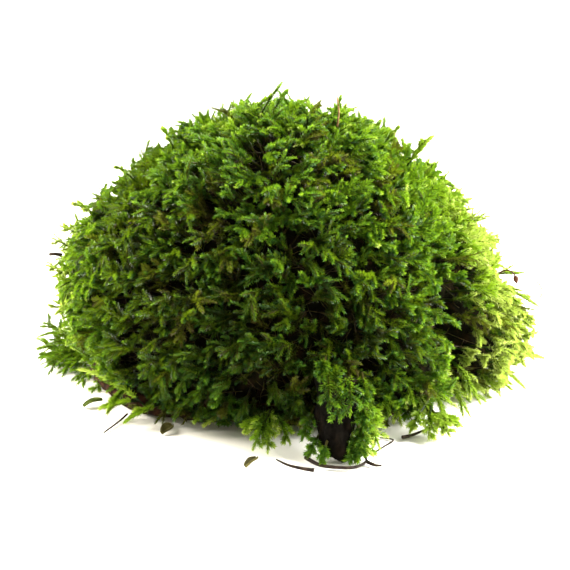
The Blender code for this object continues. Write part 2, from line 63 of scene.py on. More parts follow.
def turnBetween(angle, other):
    return (angle - other + 180) % 360 - 180


# a random lattice that repeats every 32 cells, blended smoothly between its corners, from -1 to 1
def smoothNoise(points, size, seed):
    lattice = np.random.default_rng(seed).uniform(-1, 1, (32, 32, 32))
    cell = points / size
    low = np.floor(cell).astype(int)
    part = cell - low
    part = part * part * (3 - 2 * part)
    total = 0
    for corner in range(8):
        step = np.array([corner >> k & 1 for k in range(3)])
        weight = np.prod(np.where(step == 1, part, 1 - part), axis=-1)
        at = (low + step) % 32
        total = total + weight * lattice[at[..., 0], at[..., 1], at[..., 2]]
    return total


# ---- putting arrays into meshes

# sides is 3 or 4 corners per face; spots is one map point per vertex
def makeMesh(name, points, faces, spots=None, smooth=True):
    mesh = bpy.data.meshes.new(name)
    sides = faces.shape[1]
    mesh.vertices.add(len(points))
    mesh.vertices.foreach_set("co", points.astype(np.float32).ravel())
    mesh.loops.add(faces.size)
    mesh.loops.foreach_set("vertex_index", faces.astype(np.int32).ravel())
    mesh.polygons.add(len(faces))
    mesh.polygons.foreach_set("loop_start", np.arange(0, faces.size, sides, dtype=np.int32))
    mesh.polygons.foreach_set("use_smooth", np.full(len(faces), smooth))
    if spots is not None:
        layer = mesh.uv_layers.new(name="OFBake")
        layer.data.foreach_set("uv", spots[faces.ravel()].astype(np.float32).ravel())
    mesh.update(calc_edges=True)
    mesh.validate()
    obj = bpy.data.objects.new(name, mesh)
    bpy.context.scene.collection.objects.link(obj)
    return obj


def addPiece(obj, material, slotName, *nodes):
    obj.data.materials.clear()
    obj.data.materials.append(material)
    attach(obj, "root")
    if nodes:
        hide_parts(*nodes)
    return obj


# ---- materials

def newMaterial(name, roughness, specular=0.5):
    material = bpy.data.materials.new(name)
    material.use_nodes = True
    shader = material.node_tree.nodes["Principled BSDF"]
    shader.inputs["Roughness"].default_value = roughness
    shader.inputs["Specular IOR Level"].default_value = specular
    return material, material.node_tree, shader


def addRamp(tree, stops, source):
    ramp = tree.nodes.new("ShaderNodeValToRGB")
    marks = ramp.color_ramp.elements
    while len(marks) < len(stops):
        marks.new(0.5)
    for mark, (place, colour) in zip(marks, stops):
        mark.position = place
        mark.color = (*colour, 1)
    tree.links.new(source, ramp.inputs[0])
    return ramp.outputs["Color"]


def addNoise(tree, scale, detail=6, stretch=(1, 1, 1)):
    place = tree.nodes.new("ShaderNodeTexCoord")
    mapping = tree.nodes.new("ShaderNodeMapping")
    mapping.inputs["Scale"].default_value = stretch
    noise = tree.nodes.new("ShaderNodeTexNoise")
    noise.inputs["Scale"].default_value = scale
    noise.inputs["Detail"].default_value = detail
    tree.links.new(place.outputs["Object"], mapping.inputs["Vector"])
    tree.links.new(mapping.outputs["Vector"], noise.inputs["Vector"])
    return noise.outputs["Fac"]


def addBump(tree, shader, height, distance, strength=1.0):
    bump = tree.nodes.new("ShaderNodeBump")
    bump.inputs["Strength"].default_value = strength
    bump.inputs["Distance"].default_value = distance
    tree.links.new(height, bump.inputs["Height"])
    tree.links.new(bump.outputs["Normal"], shader.inputs["Normal"])


# across the map: dead brown, then dark old green to pale new growth; up it: leaf base to tip
leafLook = dict(
    tones=[
        (0.00, (0.012, 0.007, 0.003)),
        (0.07, (0.055, 0.028, 0.010)),
        (0.13, (0.075, 0.055, 0.012)),
        (0.20, (0.005, 0.014, 0.004)),
        (0.40, (0.015, 0.076, 0.011)),
        (0.60, (0.072, 0.205, 0.012)),
        (0.80, (0.270, 0.440, 0.026)),
        (1.00, (0.620, 0.720, 0.170)),
    ],
    baseShade=0.55,
    tipShade=1.0,
    glow=(0.40, 0.66, 0.01),
    glowShare=0.35,
    through=0.38,
    roughness=0.42,
    specular=0.28,
)


def makeLeafMaterial():
    material, tree, shader = newMaterial("mossLeaf", leafLook["roughness"], leafLook["specular"])
    uv = tree.nodes.new("ShaderNodeUVMap")
    uv.uv_map = "OFBake"
    parts = tree.nodes.new("ShaderNodeSeparateXYZ")
    tree.links.new(uv.outputs["UV"], parts.inputs["Vector"])
    tone = addRamp(tree, leafLook["tones"], parts.outputs["X"])
    shades = [(0, (leafLook["baseShade"],) * 3), (1, (leafLook["tipShade"],) * 3)]
    shade = addRamp(tree, shades, parts.outputs["Y"])
    colour = tree.nodes.new("ShaderNodeMix")
    colour.data_type = "RGBA"
    colour.blend_type = "MULTIPLY"
    colour.inputs["Factor"].default_value = 1
    tree.links.new(tone, colour.inputs[6])
    tree.links.new(shade, colour.inputs[7])
    tree.links.new(colour.outputs[2], shader.inputs["Base Color"])
    # light that comes through a leaf is yellower than light off it
    glow = tree.nodes.new("ShaderNodeMix")
    glow.data_type = "RGBA"
    glow.inputs["Factor"].default_value = leafLook["glowShare"]
    glow.inputs[7].default_value = (*leafLook["glow"], 1)
    tree.links.new(colour.outputs[2], glow.inputs[6])
    through = tree.nodes.new("ShaderNodeBsdfTranslucent")
    tree.links.new(glow.outputs[2], through.inputs["Color"])
    both = tree.nodes.new("ShaderNodeMixShader")
    both.inputs["Fac"].default_value = leafLook["through"]
    tree.links.new(shader.outputs["BSDF"], both.inputs[1])
    tree.links.new(through.outputs["BSDF"], both.inputs[2])
    tree.links.new(both.outputs["Shader"], tree.nodes["Material Output"].inputs["Surface"])
    return material


def makeEarthMaterial(name, stops, scale, bump, roughness=0.95, stretch=(1, 1, 1), specular=0.12):
    material, tree, shader = newMaterial(name, roughness, specular)
    grain = addNoise(tree, scale, 8, stretch)
    tree.links.new(addRamp(tree, stops, grain), shader.inputs["Base Color"])
    addBump(tree, shader, grain, bump)
    return material


mossLeaf = makeLeafMaterial()
# the felt's dead stems, their dark browns taken almost to black as painted shade for the deep gaps between
# shoots
feltAndShadeMat = makeEarthMaterial(
    "deadStemAndShadeMat",
    [(0.30, (0.002, 0.002, 0.001)), (0.52, (0.005, 0.005, 0.002)), (0.68, (0.016, 0.009, 0.004)),
     (0.82, (0.008, 0.014, 0.003))],
    420, 0.0008, specular=0.02)
humusEarth = makeEarthMaterial(
    "humusEarth",
    [(0.30, (0.0050, 0.0022, 0.0010)), (0.48, (0.0189, 0.0072, 0.0034)), (0.60, (0.0462, 0.0162, 0.0068)),
     (0.75, (0.0252, 0.0162, 0.0051))],
    520, 0.0006)
barkDark = makeEarthMaterial(
    "barkDark",
    [(0.30, (0.0013, 0.0013, 0.0011)), (0.52, (0.0033, 0.0026, 0.0018)), (0.74, (0.013, 0.0078, 0.0042))],
    260, 0.0006, 0.9, (1, 1, 0.35), 0.05)
twigBrown = makeEarthMaterial(
    "twigBrown",
    [(0.30, (0.006, 0.004, 0.003)), (0.55, (0.022, 0.014, 0.010)), (0.75, (0.060, 0.040, 0.026))],
    600, 0.0003, 0.7)
strawTan = makeEarthMaterial(
    "strawTan",
    [(0.30, (0.120, 0.070, 0.025)), (0.60, (0.300, 0.190, 0.080))],
    700, 0.0002, 0.6)
capsuleBrown = makeEarthMaterial(
    "capsuleBrown",
    [(0.30, (0.027, 0.0078, 0.0041)), (0.60, (0.069, 0.0234, 0.0102))],
    500, 0.0001, 0.4)
deadLeaf = makeEarthMaterial(
    "deadLeafBrown",
    [(0.30, (0.022, 0.018, 0.006)), (0.52, (0.060, 0.055, 0.015)), (0.72, (0.120, 0.110, 0.035))],
    350, 0.0003, 0.75)
greenFlake = makeEarthMaterial(
    "greenFlake",
    [(0.30, (0.030, 0.045, 0.006)), (0.52, (0.080, 0.120, 0.014)), (0.72, (0.150, 0.200, 0.030))],
    500, 0.0003, 0.7)
print("materials made")


# ---- the dome that all the moss follows

# bumps swell the side outward or dent it, each round an angle and a rise
dome = dict(
    halfWidth=63 * mm, halfDepth=55.5 * mm, height=74 * mm,
    sidePower=0.95, topPower=1.0,
    undercutRise=14, undercutShare=0.12,
    bumps=[
        dict(angle=-8, spread=33, rise=10, riseSpread=13, reach=8.5 * mm),
        dict(angle=-2, spread=26, rise=33, riseSpread=9, reach=4.5 * mm),
        dict(angle=-40, spread=24, rise=0, riseSpread=20, reach=6 * mm),
        dict(angle=178, spread=42, rise=30, riseSpread=13, reach=4.5 * mm),
        dict(angle=165, spread=50, rise=63, riseSpread=12, reach=-5 * mm),
        dict(angle=-166, spread=32, rise=0, riseSpread=12, reach=-6.5 * mm),
    ],
    cleft=dict(topAngle=-36, footAngle=-41, topRise=35, depth=14 * mm, halfWidth=7),
    centreFromPad=(0.6 * mm, -0.8 * mm),
)
padLow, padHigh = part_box("humus_pad")
domeX = (padLow.x + padHigh.x) / 2 + dome["centreFromPad"][0]
domeY = (padLow.y + padHigh.y) / 2 + dome["centreFromPad"][1]


# how far the cleft between dome and lobe sinks: a bell across a line that runs down from its top
def cleftDip(angle, rise):
    cleft = dome["cleft"]
    down = np.clip(1 - rise / cleft["topRise"], 0, 1)
    line = cleft["topAngle"] + (cleft["footAngle"] - cleft["topAngle"]) * down
    return cleft["depth"] * np.sqrt(down) * bell(turnBetween(angle, line), cleft["halfWidth"])


# an ellipse in plan, shrunk by a power of the cosine of the rise and lifted by a power of its
# sine, with the bumps added and the cleft taken off; sink moves it inward
def domeSurface(angle, rise, sink=0.0):
    turn, lift = np.radians(angle), np.radians(np.clip(rise, 0, 90))
    flat = np.cos(lift) ** dome["sidePower"]
    flat = flat * (1 - dome["undercutShare"] * np.maximum(0, 1 - rise / dome["undercutRise"]) ** 2)
    reach = -cleftDip(angle, rise) - sink
    for bump in dome["bumps"]:
        near = bell(turnBetween(angle, bump["angle"]), bump["spread"])
        reach = reach + bump["reach"] * near * bell(rise - bump["rise"], bump["riseSpread"])
    x = domeX + (dome["halfWidth"] + reach) * flat * np.cos(turn)
    y = domeY + (dome["halfDepth"] + reach) * flat * np.sin(turn)
    z = (dome["height"] - sink) * np.sin(lift) ** dome["topPower"]
    return np.stack([x, y, z], axis=-1)


# cross product of the steps round and up the dome
def domeNormal(angle, rise):
    rise = np.clip(rise, 2, 88)
    across = domeSurface(angle + 1, rise) - domeSurface(angle - 1, rise)
    up = domeSurface(angle, rise + 1) - domeSurface(angle, rise - 1)
    return unit(np.cross(across, up))


# ---- leafy shoots

# a point or a direction on the bent line from start over middle to end
def bentPoint(start, middle, end, t):
    t = t[..., None]
    return start * (1 - t) ** 2 + middle * 2 * t * (1 - t) + end * t ** 2


def bentHeading(start, middle, end, t):
    t = t[..., None]
    return unit((middle - start) * (1 - t) + (end - middle) * t)


# spreads and turns of the leaves in degrees; tones run from 0, dead, to 1, pale
shootLook = dict(
    stemRadius=0.30 * mm, stemTaper=0.65,
    baseSpread=52, tipSpread=28, spreadPower=1.4, spreadScatter=14,
    flatten=0.95,
    widthShare=0.27, cup=0.10,
    turnStep=137.5, turnScatter=0.4, placeScatter=0.3,
    endSize=0.72, middleSwell=0.36, swellPower=0.8, sizeRange=(0.8, 1.2),
    tipLight=0.24, tipLightRange=(0.3, 1.5), baseDark=0.05, toneScatter=0.03,
    deadTone=0.16, deadScatter=0.02, deadRange=(0.01, 0.15), greenRange=(0.18, 0.985),
    mapFoot=0.05, mapTip=0.95, mapWidth=0.006,
)


# leaves stand round each stem at a fixed turn from one to the next, spread wide low down and
# close at the tip; each is one pointed triangle with its broad base on the stem
def leavesOn(start, middle, end, up, tone, length, count, first, rng):
    look = shootLook
    shoots = len(start)
    order = np.arange(count)
    stray = look["placeScatter"]
    share = np.clip((order + 0.5) / count + rng.uniform(-stray, stray, (shoots, count)) / count, 0, 1)
    t = first + (1 - first) * share
    start, middle, end = start[:, None], middle[:, None], end[:, None]
    centre = bentPoint(start, middle, end, t)
    heading = bentHeading(start, middle, end, t)
    above = unit(up[:, None] - heading * np.sum(up[:, None] * heading, -1, keepdims=True))
    side = np.cross(heading, above)
    turn = np.radians(order * look["turnStep"] + rng.uniform(0, 360, (shoots, 1)))
    stray = look["turnScatter"]
    turn = (turn + rng.uniform(-stray, stray, (shoots, count)))[..., None]
    out = unit(above * np.cos(turn) * look["flatten"] + side * np.sin(turn))
    spread = look["baseSpread"] + (look["tipSpread"] - look["baseSpread"]) * share ** look["spreadPower"]
    stray = look["spreadScatter"]
    spread = np.radians(spread + rng.uniform(-stray, stray, (shoots, count)))[..., None]
    aim = unit(heading * np.cos(spread) + out * np.sin(spread))
    swell = look["endSize"] + look["middleSwell"] * np.sin(np.pi * share ** look["swellPower"])
    size = (length[:, None] * swell * rng.uniform(*look["sizeRange"], (shoots, count)))[..., None]
    across = unit(np.cross(heading, out))
    girth = look["stemRadius"] * (1 - look["stemTaper"] * share ** 3)[..., None]
    base = centre + out * girth
    half = across * size * look["widthShare"]
    low = base - np.cross(across, aim) * size * look["cup"]
    points = np.stack([low - half, low + half, base + aim * size], axis=2).reshape(-1, 3)
    faces = np.arange(shoots * count * 3).reshape(-1, 3)
    fresh = look["tipLight"] * rng.uniform(*look["tipLightRange"], (shoots, 1)) * share ** 3
    tone = tone[:, None]
    green = tone + fresh - look["baseDark"] + rng.normal(0, look["toneScatter"], (shoots, count))
    brown = tone + rng.normal(0, look["deadScatter"], (shoots, count))
    green, brown = np.clip(green, *look["greenRange"]), np.clip(brown, *look["deadRange"])
    leafTone = np.where(tone < look["deadTone"], brown, green).reshape(-1, 1)
    along = np.tile([look["mapFoot"], look["mapFoot"], look["mapTip"]], (len(leafTone), 1))
    spots = np.stack([leafTone + np.array([-1, 1, 0]) * look["mapWidth"], along], -1)
    return points, faces, spots.reshape(-1, 2)


stemLook = dict(
    reach=0.96, thick=1.3, thin=0.5,
    toneShare=0.25, toneLift=0.02, toneScatter=0.004, toneRange=(0.01, 0.98),
    mapFoot=0.1, mapTip=0.8, mapEnds=(0.0, 0.9), mapScatter=0.05,
)


# a three-sided tube with its ends drawn in to a point
def stemsOn(start, middle, end, up, tone, radius, rings, rng):
    look = stemLook
    shoots = len(start)
    t = np.tile(np.linspace(0, look["reach"], rings), (shoots, 1))
    centre = bentPoint(start[:, None], middle[:, None], end[:, None], t)
    heading = bentHeading(start[:, None], middle[:, None], end[:, None], t)
    above = unit(up[:, None] - heading * np.sum(up[:, None] * heading, -1, keepdims=True))
    side = np.cross(heading, above)
    girth = radius * np.linspace(look["thick"], look["thin"], rings)[None, :, None]
    corners = [math.tau * k / 3 for k in range(3)]
    ring = [centre + girth * (above * math.cos(a) + side * math.sin(a)) for a in corners]
    ring = np.stack(ring, axis=2).reshape(shoots, rings * 3, 3)
    points = np.concatenate([ring, start[:, None], end[:, None]], axis=1)
    faces = []
    for step in range(rings - 1):
        low = step * 3
        for k in range(3):
            a, b = low + k, low + (k + 1) % 3
            faces += [[a, b, b + 3], [a, b + 3, a + 3]]
    last = (rings - 1) * 3
    for k in range(3):
        faces += [[last + k, last + (k + 1) % 3, rings * 3 + 1], [(k + 1) % 3, k, rings * 3]]
    size = rings * 3 + 2
    corner = np.arange(shoots)[:, None, None] * size
    faces = (corner + np.array(faces)[None]).reshape(-1, 3)
    stemTone = tone[:, None] * look["toneShare"] + look["toneLift"]
    stemTone = np.clip(stemTone + rng.uniform(0, look["toneScatter"], (shoots, size)), *look["toneRange"])
    along = np.repeat(np.linspace(look["mapFoot"], look["mapTip"], rings), 3)
    along = np.tile(np.concatenate([along, look["mapEnds"]]), (shoots, 1))
    along = along + rng.uniform(0, look["mapScatter"], (shoots, size))
    return points.reshape(-1, 3), faces, np.stack([stemTone, along], -1).reshape(-1, 2)


def joinMeshes(parts):
    points, faces, spots, count = [], [], [], 0
    for partPoints, partFaces, partSpots in parts:
        points.append(partPoints)
        faces.append(partFaces + count)
        spots.append(partSpots)
        count += len(partPoints)
    return np.concatenate(points), np.concatenate(faces), np.concatenate(spots)


# fingers are plump shoots with a branch or two; feathers are flat and branch left and right
fingerLook = dict(
    mainLeaves=106, mainFirst=0.30, mainRings=3,
    branchLeaves=42, branchFirst=0.05, branchRings=2,
    branchPlaces=(0.46, 0.66), branchAngle=38, branchShare=0.42,
)
stoutLook = dict(
    mainLeaves=190, mainFirst=0.15, mainRings=5,
    branchLeaves=50, branchFirst=0.1, branchRings=2,
    branchPlaces=(0.5,), branchAngle=50, branchShare=0.22,
)
wispLook = dict(
    mainLeaves=120, mainFirst=0.2, mainRings=5,
    branchLeaves=40, branchFirst=0.1, branchRings=2,
    branchPlaces=(0.45, 0.62, 0.78), branchAngle=40, branchShare=0.26,
)
oldLook = dict(
    mainLeaves=56, mainFirst=0.30, mainRings=3,
    branchLeaves=24, branchFirst=0.05, branchRings=2,
    branchPlaces=(0.55,), branchAngle=45, branchShare=0.45,
)
featherLook = dict(
    mainLeaves=90, mainFirst=0.25, mainRings=3,
    branchLeaves=36, branchFirst=0.05, branchRings=2,
    branchPlaces=(0.34, 0.46, 0.58, 0.70, 0.82), branchAngle=52, branchShare=0.32,
)


branchLook = dict(
    placeScatter=0.06, angleScatter=12, lift=(-0.15, 0.4),
    rootReach=1.15, reachLoss=0.5, reachRange=(0.65, 1.25), bendShare=0.5,
    droop=0.35, turnBack=0.6,
    toneScatter=0.03, toneLift=0.03, lowestTone=0.19,
    leafShare=0.9, stemShare=0.8,
)


# a bent main stem with side branches left and right by turns, in the plane of the frond
def growFronds(look, start, middle, end, up, tone, length, rng):
    branch = branchLook
    parts = [leavesOn(start, middle, end, up, tone, length, look["mainLeaves"], look["mainFirst"], rng),
             stemsOn(start, middle, end, up, tone, shootLook["stemRadius"], look["mainRings"], rng)]
    places = np.array(look["branchPlaces"])
    fronds, count = len(start), len(places)
    stray = branch["placeScatter"]
    t = places + rng.uniform(-stray, stray, (fronds, count))
    root = bentPoint(start[:, None], middle[:, None], end[:, None], t)
    heading = bentHeading(start[:, None], middle[:, None], end[:, None], t)
    side = unit(np.cross(heading, up[:, None]))
    turn = np.where((np.arange(count) + rng.integers(0, 2, (fronds, 1))) % 2 == 0, 1, -1)[..., None]
    stray = branch["angleScatter"]
    angle = np.radians(look["branchAngle"] + rng.uniform(-stray, stray, (fronds, count, 1)))
    lift = up[:, None] * rng.uniform(*branch["lift"], (fronds, count, 1))
    first = unit(heading * np.cos(angle) + side * turn * np.sin(angle) + lift)
    reach = np.linalg.norm(end - start, axis=-1)[:, None] * look["branchShare"]
    reach = reach * (branch["rootReach"] - branch["reachLoss"] * t)
    reach = (reach * rng.uniform(*branch["reachRange"], (fronds, count)))[..., None]
    bend = root + first * reach * branch["bendShare"]
    droop = np.array([0, 0, -branch["droop"]]) * rng.uniform(0, 1, (fronds, count, 1))
    onward = unit(first + heading * branch["turnBack"] + droop)
    tip = bend + onward * reach * (1 - branch["bendShare"])
    flat = lambda a: a.reshape(-1, 3)
    repeat = lambda a: np.repeat(a, count, axis=0)
    green = repeat(tone) + rng.normal(0, branch["toneScatter"], fronds * count) + branch["toneLift"]
    green = np.maximum(green, branch["lowestTone"])
    branchTone = np.where(repeat(tone) < shootLook["deadTone"], repeat(tone), green)
    lines = (flat(root), flat(bend), flat(tip), repeat(up), branchTone)
    leaf, girth = repeat(length) * branch["leafShare"], shootLook["stemRadius"] * branch["stemShare"]
    parts.append(leavesOn(*lines, leaf, look["branchLeaves"], look["branchFirst"], rng))
    parts.append(stemsOn(*lines, girth, look["branchRings"], rng))
    return joinMeshes(parts)


# ---- the moss cushion

moss = dict(
    seed=5,
    depth=9.0 * mm,
    lowestRise=1,
    hollowBare=0.75, cleftBare=0.97,
    tipHeight=1.4 * mm, tipHeightRange=2.2 * mm,
    bareFoot=dict(angle=-135, spread=40, lift=1.8 * mm),
    rootHeight=4.5 * mm, bendHeight=1.5 * mm, floorGap=0.15 * mm,
    greenTone=(0.24, 0.97), oldTone=(0.19, 0.30), deadTone=(0.03, 0.14),
    deadShare=0.03, patchDeadShare=0.5, oldDeadShare=0.35,
    leaf=(0.85 * mm, 1.15 * mm),
    feathers=dict(count=640, run=(7 * mm, 13 * mm), tipSink=(0.0 * mm, 4.0 * mm), look=featherLook),
    fingers=dict(count=1950, run=(3 * mm, 11 * mm), tipSink=(-1.4 * mm, 3.5 * mm), look=fingerLook),
    old=dict(count=800, run=(4 * mm, 10 * mm), tipSink=(3.5 * mm, 7.5 * mm), look=oldLook),
    patches=[
        (-117, 30, 8), (-105, 47, 7), (-80, 55, 7), (-70, 62, 7), (-53, 47, 6), (-38, 24, 5), (-42, 9, 6)],
    hollows=[(-82, 25, 5), (-113, 44, 4), (-66, 45, 4), (-129, 25, 5), (-67, 12, 4), (-57, 10, 4)],
    cleft=[(-36, 28, 6), (-37, 22, 7.5), (-38, 17, 8), (-39, 12, 8), (-40, 6, 7)],
)


# nearness to the centres of a list of spots on the dome, 1 at a centre and 0 far off
def nearSpots(points, spots):
    near = np.zeros(len(points))
    for angle, rise, size in spots:
        centre = domeSurface(np.array([angle]), np.array([rise]))
        near = np.maximum(near, bell(np.linalg.norm(points - centre, axis=-1), size * mm))
    return near


# how much lighter, and from where to where in shares of the dome's half width, half depth and height; the
# lifts at the sides, on the crown and at the left rim are painted rim and top light, the drop at the upper
# left is painted shade, the right and the lobe are partly their own paler colour and partly painted light,
# and the back is lighter towards the back
toneAndLightLook = dict(
    base=0.21,
    sides=(0.53, 0.5, 1.0), crown=(0.31, 0.5, 0.95), right=(0.21, 0.2, 0.8), back=(0.12, -0.5, 0.6),
    leftRimLight=(0.18, 0.8, 1.0), lobe=(0.30, 0.7, 1.0), lobeTop=(0.7, 0.4),
    upperLeftShade=(-0.10, 0.2, 0.6), upperLeftFoot=(0.3, 0.6),
    clouds=[(0.15, 16 * mm, 21), (0.13, 6 * mm, 22)], scatter=0.08,
)


# one lift or drop of the tone between two shares, used for the painted light and shade and for the real
# paler colour alike
def toneAndLightStep(name, place):
    change, low, high = toneAndLightLook[name]
    return change * smoothStep(low, high, place)


# each shoot's tone from its place: painted rim, top and side light lifts the edges, crown and right, the
# front centre keeps the low base tone as painted shade, and the clouds and scatter are random tone
def mossToneAndLight(points, rng):
    u = (points[:, 0] - domeX) / dome["halfWidth"]
    v = (points[:, 1] - domeY) / dome["halfDepth"]
    w = points[:, 2] / dome["height"]
    tone = toneAndLightLook["base"] + toneAndLightStep("sides", np.abs(u)) + toneAndLightStep("crown", w)
    tone += toneAndLightStep("right", u) + toneAndLightStep("leftRimLight", -u) + toneAndLightStep("back", v)
    tone += toneAndLightStep("lobe", u) * smoothStep(*toneAndLightLook["lobeTop"], w)
    tone += toneAndLightStep("upperLeftShade", -u) * smoothStep(*toneAndLightLook["upperLeftFoot"], w)
    for change, size, seed in toneAndLightLook["clouds"]:
        tone += change * smoothNoise(points, size, seed)
    return tone + rng.normal(0, toneAndLightLook["scatter"], len(points))


# the angle and rise whose place on the dome is nearest, leaving out the lobe and cleft
def domePlace(points):
    x = (points[:, 0] - domeX) / dome["halfWidth"]
    y = (points[:, 1] - domeY) / dome["halfDepth"]
    z = np.maximum(points[:, 2], 0) / dome["height"]
    flat = np.hypot(x, y) ** (1 / dome["sidePower"])
    return np.degrees(np.arctan2(y, x)), np.degrees(np.arctan2(z ** (1 / dome["topPower"]), flat))


spreadLook = dict(goldenTurn=137.508, turnScatter=4, riseScatter=2, highest=0.9995, riseRange=(-1, 89))


# evenly spaced places: equal steps up the dome, a golden turn round it from one to the next
def spreadOver(count, lowest, rng):
    low = math.sin(math.radians(lowest))
    height = low + (1 - low) * (np.arange(count) + 0.5) / count
    stray = spreadLook["turnScatter"]
    angle = np.arange(count) * spreadLook["goldenTurn"] % 360 - 180 + rng.uniform(-stray, stray, count)
    stray = spreadLook["riseScatter"]
    rise = np.degrees(np.arcsin(np.minimum(height, spreadLook["highest"])))
    rise = rise + rng.uniform(-stray, stray, count)
    return angle, np.clip(rise, *spreadLook["riseRange"])


# sway is the turn to the side, fall the turn downhill, both against a step along the dome of 1
layLook = dict(
    frontAngle=-90, frontWidth=25, sway=0.75, swayNoise=1.5, swayCell=14 * mm, swayScatter=0.6, mostSway=1.2,
    fall=0.42, fallNoise=0.8, fallCell=15 * mm, fallScatter=0.45, crownRise=(45, 80),
    lobeAngle=-12, lobeSpread=36, lobeRise=10, lobeRiseSpread=26,
    lobeLessSway=0.9, lobeFall=0.45, lobeShorter=0.5,
    scatter=0.15, lobeScatter=0.6,
    rootDepth=(0.8, 1.15), bendPlace=0.28, bendLift=(-1.2 * mm, 1.8 * mm),
)


# fronds rise from the mat, bend over, then run along the dome away from its front line and downhill;
# on the lobe they turn less to the side, hang more and are shorter
def frondPaths(angle, rise, depth, run, tipSink, rng):
    lay = layLook
    count = len(angle)
    surface = domeSurface(angle, rise)
    out = domeNormal(angle, rise)
    around = unit(np.stack([-out[:, 1], out[:, 0], np.zeros(count)], -1))
    downhill = np.cross(around, out)
    downhill = np.where(downhill[:, 2:] > 0, -downhill, downhill)
    lobe = bell(turnBetween(angle, lay["lobeAngle"]), lay["lobeSpread"])
    lobe = lobe * bell(rise - lay["lobeRise"], lay["lobeRiseSpread"])
    sway = lay["sway"] * np.clip(turnBetween(angle, lay["frontAngle"]) / lay["frontWidth"], -1, 1)
    sway = sway * (1 - lay["lobeLessSway"] * lobe)
    sway = sway + lay["swayNoise"] * smoothNoise(surface, lay["swayCell"], 31)
    sway = sway + rng.normal(0, lay["swayScatter"], count)
    fall = lay["fall"] + lay["fallNoise"] * smoothNoise(surface, lay["fallCell"], 32)
    fall = fall + rng.normal(0, lay["fallScatter"], count) + lay["lobeFall"] * lobe
    fall = fall * (1 - smoothStep(*lay["crownRise"], rise))
    sideways = np.clip(sway, -lay["mostSway"], lay["mostSway"])
    scatter = rng.normal(0, 1, (count, 3)) * (lay["scatter"] + lay["lobeScatter"] * lobe)[:, None]
    along = unit(around * sideways[:, None] + downhill * fall[:, None] + scatter)
    length = (rng.uniform(*run, count) * (1 - lay["lobeShorter"] * lobe))[:, None]
    root = domeSurface(angle, rise, depth * rng.uniform(*lay["rootDepth"], count))
    sink = rng.uniform(*tipSink, count)
    end = domeSurface(*domePlace(surface + along * length), sink)
    lift = rng.uniform(*lay["bendLift"], count)
    middle = domeSurface(*domePlace(surface + along * length * lay["bendPlace"]), sink - lift)
    return root, middle, end, out


regionNames = ["crown_front", "crown_back", "left", "front_left", "front_right", "right", "back_right",
               "back_left"]


crownFoot = 47
sideStart = -225


# the crown above its foot in a front and a back half, and equal parts round the side from the left
def regionOf(angle, rise):
    crown = np.where(angle < 0, 0, 1)
    sides = len(regionNames) - 2
    side = np.floor((angle - sideStart) * sides / 360).astype(int) % sides
    return np.where(rise > crownFoot, crown, 2 + side)


# grows one kind of frond over the whole dome and files its parts under their regions
def plantKind(name, regions, rng):
    cfg = moss[name]
    angle, rise = spreadOver(cfg["count"], moss["lowestRise"], rng)
    root, middle, end, out = frondPaths(angle, rise, moss["depth"], cfg["run"], cfg["tipSink"], rng)
    if name != "old":
        bare = np.maximum(nearSpots(domeSurface(angle, rise), moss["hollows"]) * moss["hollowBare"],
                          nearSpots(end, moss["cleft"]) * moss["cleftBare"])
        keep = rng.random(len(angle)) > bare
        angle, rise, root, middle, end, out = (a[keep] for a in (angle, rise, root, middle, end, out))
    foot = moss["bareFoot"]
    low = moss["tipHeight"] + rng.uniform(0, moss["tipHeightRange"], len(angle))
    low = low + foot["lift"] * bell(turnBetween(angle, foot["angle"]), foot["spread"])
    root[:, 2] = np.maximum(root[:, 2], moss["rootHeight"])
    end[:, 2] = np.maximum(end[:, 2], low)
    middle[:, 2] = np.maximum(middle[:, 2], low + moss["bendHeight"])
    surface = domeSurface(angle, rise)
    # the shoot's tone carries the painted light and shade of its place on the dome
    tone = np.clip(mossToneAndLight(surface, rng), *moss["greenTone"])
    brown = nearSpots(surface, moss["patches"]) * moss["patchDeadShare"] + moss["deadShare"]
    if name == "old":
        tone = rng.uniform(*moss["oldTone"], len(angle))
        brown = moss["oldDeadShare"]
    tone = np.where(rng.random(len(tone)) < brown, rng.uniform(*moss["deadTone"], len(tone)), tone)
    leaf = rng.uniform(*moss["leaf"], len(tone))
    region = regionOf(angle, rise)
    for number in range(len(regionNames)):
        pick = region == number
        parts = growFronds(cfg["look"], root[pick], middle[pick], end[pick], out[pick], tone[pick],
                           leaf[pick], rng)
        regions[number].append(parts)


def plantCushion():
    rng = np.random.default_rng(moss["seed"])
    regions = [[] for name in regionNames]
    for kind in ("feathers", "fingers", "old"):
        plantKind(kind, regions, rng)
    total = 0
    for name, parts in zip(regionNames, regions):
        points, faces, spots = joinMeshes(parts)
        points[:, 2] = np.maximum(points[:, 2], moss["floorGap"])
        addPiece(makeMesh("moss_" + name, points, faces, spots), mossLeaf, "moss", "moss_cushion")
        print("moss", name, len(faces), "triangles")
        total += len(faces)
    print("moss planted,", total, "triangles")


plantCushion()


felt = dict(
    columns=240, rows=70, lastRise=88, foot=4.6 * mm,
    bumps=[(1.2 * mm, 4 * mm, 41), (0.8 * mm, 1.5 * mm, 42)],
)


